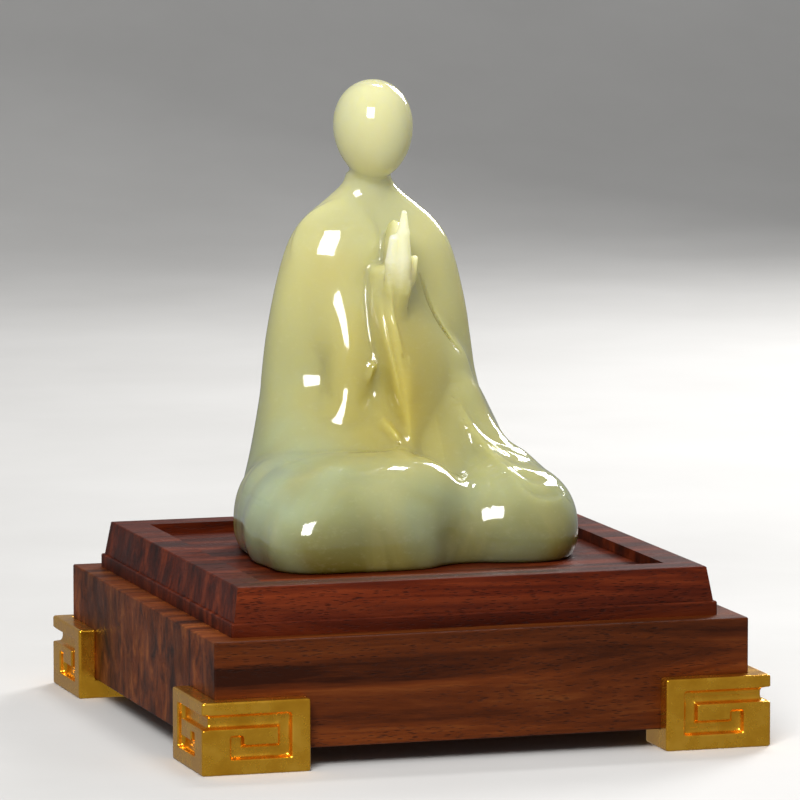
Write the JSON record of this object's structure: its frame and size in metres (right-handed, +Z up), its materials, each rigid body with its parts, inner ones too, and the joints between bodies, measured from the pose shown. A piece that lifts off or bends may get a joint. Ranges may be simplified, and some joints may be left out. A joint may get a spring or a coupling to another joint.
{
  "type": "jade figurine",
  "caption": "Polished jade figure seated in meditation, faceless and cloaked, resting on a two-tier hardwood stand with gilt fret corner feet.",
  "frame": {"origin": "on the table, under the middle of the stand", "axes": "+Z up, +X across the front, the figure faces -Y"},
  "size_m": [0.1596, 0.1596, 0.1752],
  "materials": {
    "jade": "high polish, slightly translucent",
    "tray_wood": "oiled dark red hardwood",
    "base_wood": "oiled dark walnut",
    "gilt": "satin gold plating",
    "screw_steel": "plain zinc-plated"
  },
  "bodies": {
    "stand": {"tray_plank_front": "tray_wood", "tray_plank_mid_front": "tray_wood", "tray_plank_mid_back": "tray_wood", "tray_plank_back": "tray_wood", "base_plank_front": "base_wood", "base_plank_mid_front": "base_wood", "base_plank_mid_back": "base_wood", "base_plank_back": "base_wood", "corner_foot_front_left": "gilt", "corner_foot_front_right": "gilt", "corner_foot_back_right": "gilt", "corner_foot_back_left": "gilt", "foot_screws": "screw_steel", "tier_screws": "screw_steel"},
    "figure": {"jade_figure": "jade"}
  },
  "joints": [
    {"name": "figure_lift", "type": "slide", "parent": "stand", "child": "figure", "axis": [0, 0, 1], "range_m": [0, 0.02]}
  ]
}
